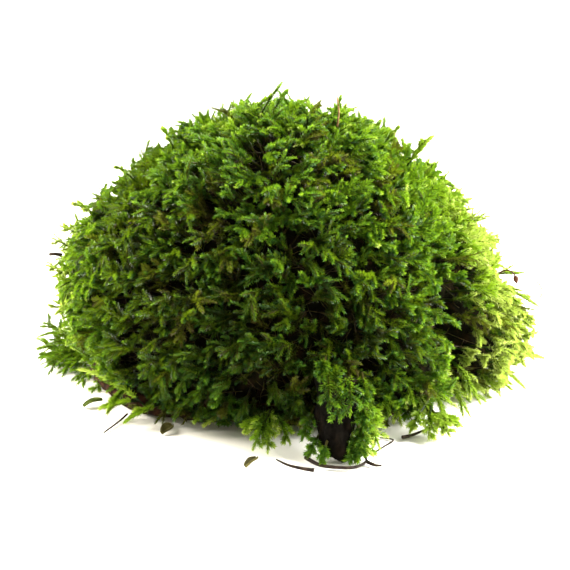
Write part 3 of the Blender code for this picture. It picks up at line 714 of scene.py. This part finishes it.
# the felt of old stems under the shoots, its dead-stem browns taken almost to black as painted shade for the
# deep gaps: the dome sunk by the shoots' depth and roughened, closed by a fan of triangles at its pole and
# at its foot
def makeFelt():
    turns = np.linspace(-180, 180, felt["columns"], endpoint=False)
    angle, rise = np.meshgrid(turns, np.linspace(0, felt["lastRise"], felt["rows"]), indexing="ij")
    points = domeSurface(angle, rise, moss["depth"])
    out = domeNormal(angle, rise)
    push = sum(height * smoothNoise(points, size, seed) for height, size, seed in felt["bumps"])
    points = points + out * push[..., None]
    points[..., 2] = np.maximum(points[..., 2], felt["foot"])
    points[:, 0, 2] = felt["foot"]
    wide, tall = angle.shape
    a = np.arange(wide * tall).reshape(wide, tall)
    b = np.roll(a, -1, axis=0)
    quads = np.stack([a[:, :-1], b[:, :-1], b[:, 1:], a[:, 1:]], -1).reshape(-1, 4)
    foot, pole = np.full(wide, wide * tall), np.full(wide, wide * tall + 1)
    faces = np.concatenate([quads[:, :3], quads[:, [0, 2, 3]], np.stack([b[:, 0], a[:, 0], foot], -1),
                            np.stack([a[:, -1], b[:, -1], pole], -1)])
    ends = points[:, [0, -1]].mean(axis=0)
    piece = makeMesh("moss_stem_felt", np.concatenate([points.reshape(-1, 3), ends]), faces)
    addPiece(piece, feltAndShadeMat, "moss", "moss_cushion")


makeFelt()


fibre = dict(
    seed=43, count=1500, radius=0.13 * mm, rings=3,
    startSink=(5 * mm, 9 * mm), endSink=(3.5 * mm, 9 * mm), lowest=3 * mm,
    turn=7, climb=6, steepest=80, bend=1.2 * mm, tone=(-0.02, 0.42),
)


# thin dead stems lying over the felt, each bent a little between two places on the sunk dome
def makeFibres():
    rng = np.random.default_rng(fibre["seed"])
    angle, rise = spreadOver(fibre["count"], moss["lowestRise"], rng)
    count = len(angle)
    start = domeSurface(angle, rise, rng.uniform(*fibre["startSink"], count))
    turn = rng.normal(0, fibre["turn"], count) / np.cos(np.radians(np.minimum(rise, fibre["steepest"])))
    climb = rng.normal(0, fibre["climb"], count)
    end = domeSurface(angle + turn, rise + climb, rng.uniform(*fibre["endSink"], count))
    start[:, 2] = np.maximum(start[:, 2], fibre["lowest"])
    end[:, 2] = np.maximum(end[:, 2], fibre["lowest"])
    middle = (start + end) / 2 + rng.normal(0, fibre["bend"], (count, 3))
    tone = rng.uniform(*fibre["tone"], count)
    up = domeNormal(angle, rise)
    parts = stemsOn(start, middle, end, up, tone, fibre["radius"], fibre["rings"], rng)
    addPiece(makeMesh("moss_dead_stems", *parts), mossLeaf, "moss", "moss_cushion")
    print("dead stems laid")


makeFibres()


# ---- bark and humus, roughened copies of the plain solids

# each bump is a height, a cell size and a stretch of the noise right, back and up
barkLook = dict(cell=0.35 * mm, seed=51, bumps=[
    (1.4 * mm, 3.5 * mm, (1, 1, 2.2)), (0.5 * mm, 1.3 * mm, (1, 1, 2.5)), (0.25 * mm, 0.6 * mm, (1, 1, 1))])
humusLook = dict(cell=0.8 * mm, seed=55, bumps=[
    (0.7 * mm, 3 * mm, (1, 1, 1)), (0.45 * mm, 1.2 * mm, (1, 1, 1))])


# the solid's corners joined, its surface rebuilt in small cells and pushed out and in by noise
def roughCopy(node, name, cfg):
    solid = bpy.data.objects.new(name + "_solid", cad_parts[node].data.copy())
    bpy.context.scene.collection.objects.link(solid)
    weld = solid.modifiers.new("weld", "WELD")
    weld.merge_threshold = 0.01 * mm
    remesh = solid.modifiers.new("remesh", "REMESH")
    remesh.mode = "VOXEL"
    remesh.voxel_size = cfg["cell"]
    shape = bpy.data.meshes.new_from_object(solid.evaluated_get(bpy.context.evaluated_depsgraph_get()))
    bpy.data.objects.remove(solid)
    points = np.empty(len(shape.vertices) * 3)
    shape.vertices.foreach_get("co", points)
    out = np.empty(len(shape.vertices) * 3)
    shape.vertex_normals.foreach_get("vector", out)
    points, out = points.reshape(-1, 3), out.reshape(-1, 3)
    push = sum(height * smoothNoise(points / stretch, size, cfg["seed"] + k)
               for k, (height, size, stretch) in enumerate(cfg["bumps"]))
    points = points + out * push[:, None]
    points[:, 2] = np.maximum(points[:, 2], 0.05 * mm)
    shape.vertices.foreach_set("co", points.ravel())
    shape.shade_smooth()
    shape.update()
    obj = bpy.data.objects.new(name, shape)
    bpy.context.scene.collection.objects.link(obj)
    return obj


addPiece(roughCopy("bark_chip", "bark_wedge", barkLook), barkDark, "bark", "bark_chip")
addPiece(roughCopy("humus_pad", "humus_mat", humusLook), humusEarth, "humus", "humus_pad")
print("bark and humus roughened")


# ---- low tufts at the foot

# each frond's root and tip as shares of its tuft's box: right, back, up
tufts = dict(
    tuft_left=dict(slot="moss", tone=0.50, root=(1.0, 0.35, 0.35), tips=[
        (0.0, 0.9, 0.1), (0.12, 0.95, 0.95), (0.1, 0.5, 0.05), (0.3, 0.3, 0.05), (0.5, 0.05, 0.05),
        (0.25, 0.75, 0.5), (0.7, 0.0, 0.1)]),
    tuft_front=dict(slot="moss_tips", tone=0.74, root=(0.55, 1.0, 1.0), tips=[
        (0.5, 0.05, 0.0), (0.2, 0.15, 0.0), (0.95, 0.35, 0.1), (0.0, 0.6, 0.35), (0.4, 0.3, 0.3)]),
    tuft_bark=dict(slot="moss_tips", tone=0.80, root=(0.4, 1.0, 1.0), tips=[
        (0.1, 0.0, 0.0), (0.35, 0.1, 0.0), (0.7, 0.35, 0.05), (0.75, 0.75, 0.5), (0.5, 0.3, 0.3)]),
    tuft_right=dict(slot="moss_tips", tone=0.86, root=(0.35, 1.0, 0.95), tips=[
        (0.0, 0.5, 0.1), (0.28, 0.25, 0.0), (0.62, 0.35, 0.05), (0.85, 0.75, 0.2), (0.5, 0.5, 0.35)]),
)


# moss on the bark: its back, its right edge and its foot
barkMoss = dict(node="moss_cushion", slot="moss", tone=0.46, root=[
    (0.50, 0.95, 1.08), (0.98, 0.95, 0.95), (1.02, 0.80, 0.75), (1.04, 0.60, 0.60), (1.02, 0.45, 0.45),
    (0.95, 0.36, 0.35), (0.95, 0.90, 1.05), (0.90, 0.24, 0.25), (0.20, 0.95, 1.12), (0.02, 0.60, 0.50),
    (0.05, 0.45, 0.35), (0.14, 0.20, 0.25), (0.30, 0.90, 1.02), (0.66, 0.90, 1.02), (0.48, 0.85, 1.00)],
    tips=[
    (0.38, 0.45, 0.98), (0.88, 0.30, 0.66), (0.98, 0.16, 0.42), (0.92, 0.04, 0.22), (0.86, -0.02, 0.10),
    (0.78, -0.08, 0.04), (1.02, 0.30, 0.72), (0.68, -0.10, 0.03), (0.06, 0.50, 1.00), (-0.30, 0.30, 0.22),
    (-0.16, 0.10, 0.06), (0.08, -0.10, 0.03), (0.24, -0.05, 0.74), (0.66, -0.08, 0.70), (0.45, -0.10, 0.62)])


tuftLook = dict(
    seed=17, rootScatter=0.8 * mm, arch=0.16, up=(0.0, -0.2, 1.0),
    lowestRoot=2 * mm, lowestTip=1.4 * mm, toneScatter=0.05, leaf=(1.05 * mm, 1.4 * mm),
)


# a root for all the shoots or one for each, their tips, and the tone they share
def plantTuft(name, box, cfg, rng):
    look = tuftLook
    low, high = (np.array(corner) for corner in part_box(box))
    root = low + (high - low) * np.array(cfg["root"])
    end = low + (high - low) * np.array(cfg["tips"])
    start = root + rng.normal(0, look["rootScatter"], end.shape)
    length = np.linalg.norm(end - start, axis=-1, keepdims=True)
    middle = (start + end) / 2 + np.array([0, 0, look["arch"]]) * length
    start[:, 2] = np.maximum(start[:, 2], look["lowestRoot"])
    end[:, 2] = np.maximum(end[:, 2], look["lowestTip"])
    up = np.tile(look["up"], (len(end), 1))
    tone = cfg["tone"] + rng.normal(0, look["toneScatter"], len(end))
    leaf = rng.uniform(*look["leaf"], len(end))
    points, faces, spots = growFronds(featherLook, start, middle, end, unit(up), tone, leaf, rng)
    points[:, 2] = np.maximum(points[:, 2], moss["floorGap"])
    addPiece(makeMesh(name + "_shoots", points, faces, spots), mossLeaf, cfg["slot"], cfg.get("node", name))


strayLook = dict(seed=24, arch=0.14, up=(0.0, -0.3, 1.0), leafRange=(0.92, 1.08))

# lone shoots, each from a root to a tip in mm from the dome's centre, right, back and up, and a tone
strays = dict(
    crown=dict(look=wispLook, leaf=0.85, shoots=[
        ((-6, -3, 70), (0.2, -8, 80.2), 0.62), ((-3, -4, 70), (2.2, -8, 79.2), 0.60),
        ((-10, -4, 69), (-2.6, -7, 77.2), 0.66), ((14, -6, 69), (16, -8, 77.0), 0.55),
        ((-28, -6, 62), (-31, -8, 69.5), 0.70), ((22, -6, 65), (26.6, -8, 70.6), 0.66),
        ((27, -6, 63), (31.6, -8, 69.4), 0.74), ((-38, -6, 53), (-44, -8, 59), 0.75)]),
    stout=dict(look=stoutLook, leaf=1.45, shoots=[
        ((34, -8, 59), (40.4, -8, 66.8), 0.84), ((60, -16, 7), (74.4, -9, 4.2), 0.93),
        ((54, -18, 9), (65.5, -25.5, 2.4), 0.90)]),
    lobe=dict(look=fingerLook, leaf=1.05, shoots=[
        ((46, 0, 38), (56.5, -6, 44.0), 0.80), ((50, 2, 33), (61.0, -4, 37.5), 0.84),
        ((55, 0, 24), (68.0, -6, 28.5), 0.84), ((60, -4, 24), (73.4, -4, 17.8), 0.88),
        ((60, -8, 18), (72.5, -6, 13.0), 0.86), ((54, -24, 7), (62.0, -27, 2.2), 0.84),
        ((44, -6, 42), (51.0, -12, 46.0), 0.80), ((57, -10, 24), (66.5, -14, 22.0), 0.84)]),
    rightFoot=dict(look=fingerLook, leaf=1.1, shoots=[
        ((28, -40, 9), (30, -49.0, 2.5), 0.80), ((33, -39, 9), (36, -49.0, 2.2), 0.84),
        ((38, -37, 9), (42, -47.5, 2.0), 0.86), ((42, -33, 9), (48, -43, 2.2), 0.86),
        ((46, -28, 8), (52, -36, 2.2), 0.84), ((36, -38, 13), (40, -48, 6.0), 0.80),
        ((44, -30, 13), (50, -40, 6.5), 0.82), ((50, -24, 9), (58, -31, 2.5), 0.84),
        ((30, -40, 14), (33, -49, 8.0), 0.76), ((24, -42, 12), (27, -50, 6.0), 0.72),
        ((31, -36, 16), (37, -45, 9.5), 0.80), ((37, -33, 15), (43, -42, 9.0), 0.84),
        ((41, -30, 11), (46, -40, 4.0), 0.88), ((34, -40, 9), (38, -50, 2.6), 0.90)]),
    left=dict(look=featherLook, leaf=1.05, shoots=[
        ((-50, 0, 33), (-60.5, -6, 42.0), 0.90), ((-52, 0, 28), (-63.5, -4, 38.0), 0.93),
        ((-54, 0, 22), (-65.5, -4, 30.0), 0.93), ((-48, 0, 40), (-56.5, -6, 48.5), 0.86),
        ((-56, 0, 14), (-64.0, -8, 19.0), 0.85)]),
    foot=dict(look=featherLook, leaf=1.0, shoots=[
        ((-50, 2, 6), (-71.5, 2, 2.5), 0.70), ((-50, -4, 5), (-68.0, -8, 1.8), 0.40),
        ((-48, -12, 5), (-55.0, -22.5, 1.8), 0.50), ((-50, -8, 5), (-62.0, -15, 1.8), 0.55),
        ((-50, -4, 5), (-66.5, -11, 2.0), 0.50), ((-52, 0, 5), (-70.0, -3, 1.8), 0.50),
        ((-44, -20, 5), (-50.0, -28, 2.0), 0.60), ((-50, 2, 7), (-71.0, 7, 5.0), 0.60),
        ((-48, -8, 5), (-61.5, -14, 1.8), 0.36), ((-52, 6, 7), (-66.5, 10, 6.5), 0.45),
        ((-46, -12, 5), (-57.0, -20, 2.0), 0.42), ((-50, -2, 9), (-63.0, -6, 6.0), 0.50)]),
    runner=dict(look=stoutLook, leaf=1.35, shoots=[
        ((-33, -43, 4.5), (-53.5, -25, 7.4), 0.84), ((-36, -40, 5), (-46.0, -39, 2.4), 0.80),
        ((-30, -42, 5), (-38.5, -46, 2.0), 0.78), ((-7, -42, 6), (-18.5, -48.5, 2.2), 0.80),
        ((-13, -42, 5), (-21.0, -49.0, 3.6), 0.74), ((-40, -34, 6), (-43.5, -42, 2.4), 0.72)]),
    dead=dict(look=oldLook, leaf=0.9, shoots=[
        ((18, -40, 8), (20.0, -47.5, 2.2), 0.06), ((22, -40, 8), (25.0, -47, 2.0), 0.10),
        ((26, -39, 8), (29.5, -46, 2.2), 0.08), ((20, -42, 6), (17.0, -48, 3.0), 0.12),
        ((24, -40, 7), (22.0, -47.5, 2.4), 0.09), ((30, -38, 7), (33.0, -44.5, 2.0), 0.07),
        ((28, -40, 6), (26.5, -46.5, 1.8), 0.12), ((-20, -41, 5), (-24.0, -47, 1.8), 0.10),
        ((-26, -40, 5), (-31.0, -46, 1.6), 0.07), ((-16, -42, 5), (-15.0, -48, 1.8), 0.12),
        ((-32, -37, 5), (-38.0, -43, 1.8), 0.09)]),
)


def plantStrays(name, cfg, rng):
    shoots = cfg["shoots"]
    centre = np.array([domeX, domeY, 0])
    start = centre + np.array([root for root, tip, tone in shoots]) * mm
    end = centre + np.array([tip for root, tip, tone in shoots]) * mm
    length = np.linalg.norm(end - start, axis=-1, keepdims=True)
    middle = (start + end) / 2 + np.array([0, 0, strayLook["arch"]]) * length
    up = np.tile(strayLook["up"], (len(end), 1))
    tone = np.array([tone for root, tip, tone in shoots])
    leaf = cfg["leaf"] * mm * rng.uniform(*strayLook["leafRange"], len(end))
    points, faces, spots = growFronds(cfg["look"], start, middle, end, unit(up), tone, leaf, rng)
    points[:, 2] = np.maximum(points[:, 2], moss["floorGap"])
    addPiece(makeMesh("moss_stray_" + name, points, faces, spots), mossLeaf, "moss", "moss_cushion")


strayRng = np.random.default_rng(strayLook["seed"])
for name, cfg in strays.items():
    plantStrays(name, cfg, strayRng)
print("stray shoots planted")

tuftRng = np.random.default_rng(tuftLook["seed"])
for name, cfg in tufts.items():
    plantTuft(name, name, cfg, tuftRng)
plantTuft("bark_moss", "bark_chip", barkMoss, tuftRng)
print("foot tufts planted")


# ---- carried-over pieces take their finish

finishes = dict(
    twig_forked=twigBrown, twig_bent=twigBrown,
    twig_side=twigBrown, twig_stub=twigBrown, strand_wiry=twigBrown, rootlet_left=twigBrown,
    straw_upright=strawTan, straw_curled=strawTan, sporophyte=capsuleBrown,
    leaf_dry=deadLeaf, leaf_flake_a=greenFlake, leaf_flake_b=deadLeaf,
)
for name, material in finishes.items():
    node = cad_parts[name]
    node.data.materials.clear()
    node.data.materials.append(material)


# ---- floor, light and camera

floorLook = dict(size=20.0, colour=(0.94, 0.935, 0.92))


def makeFloor():
    half = floorLook["size"] / 2
    corners = np.array([[-half, -half, 0], [half, -half, 0], [half, half, 0], [-half, half, 0]])
    floor = makeMesh("floor", corners, np.array([[0, 1, 2, 3]]), smooth=False)
    material, tree, shader = newMaterial("paleFloor", 0.9, 0.1)
    shader.inputs["Base Color"].default_value = (*floorLook["colour"], 1)
    floor.data.materials.append(material)


lightLook = dict(
    world=(0.50, 0.465, 0.375), aim=(0, 0, 0.03),
    sun=dict(strength=5.0, angle=45, heading=(-0.55, -0.40, -1.0), colour=(1.0, 0.985, 0.95)),
    rim=dict(power=15, size=0.35, place=(-0.45, 0.15, 0.25), colour=(1.0, 0.93, 0.80)),
    side=dict(power=18, size=0.35, place=(0.48, 0.0, 0.28), colour=(1.0, 0.97, 0.88)),
)


def makeLights():
    world = bpy.data.worlds.new("studio")
    bpy.context.scene.world = world
    world.use_nodes = True
    world.node_tree.nodes["Background"].inputs["Color"].default_value = (*lightLook["world"], 1)
    cfg = lightLook["sun"]
    sun = bpy.data.lights.new("softSun", "SUN")
    sun.energy, sun.angle, sun.color = cfg["strength"], math.radians(cfg["angle"]), cfg["colour"]
    obj = bpy.data.objects.new("softSun", sun)
    obj.rotation_euler = Vector(cfg["heading"]).to_track_quat("-Z", "Y").to_euler()
    bpy.context.scene.collection.objects.link(obj)
    for name in ("rim", "side"):
        cfg = lightLook[name]
        lamp = bpy.data.lights.new(name, "AREA")
        lamp.energy, lamp.size, lamp.color = cfg["power"], cfg["size"], cfg["colour"]
        obj = bpy.data.objects.new(name, lamp)
        obj.location = cfg["place"]
        aim = Vector(lightLook["aim"]) - Vector(cfg["place"])
        obj.rotation_euler = aim.to_track_quat("-Z", "Y").to_euler()
        bpy.context.scene.collection.objects.link(obj)


cameraLook = dict(
    elevation=18, distance=0.28, aim=(1.4 * mm, -7.9 * mm, 25.5 * mm),
    lens=63.7, nearest=0.01, farthest=50,
)


def makeCamera():
    camera = bpy.data.cameras.new("camera")
    obj = bpy.data.objects.new("camera", camera)
    camera.lens = cameraLook["lens"]
    camera.clip_start, camera.clip_end = cameraLook["nearest"], cameraLook["farthest"]
    tilt = math.radians(cameraLook["elevation"])
    far = cameraLook["distance"]
    right, back, up = cameraLook["aim"]
    obj.location = (domeX + right, domeY + back - far * math.cos(tilt), up + far * math.sin(tilt))
    obj.rotation_euler = (math.pi / 2 - tilt, 0, 0)
    bpy.context.scene.collection.objects.link(obj)
    bpy.context.scene.camera = obj


makeFloor()
makeLights()
makeCamera()
bpy.context.scene.view_settings.view_transform = "Standard"
print("floor, light and camera set")
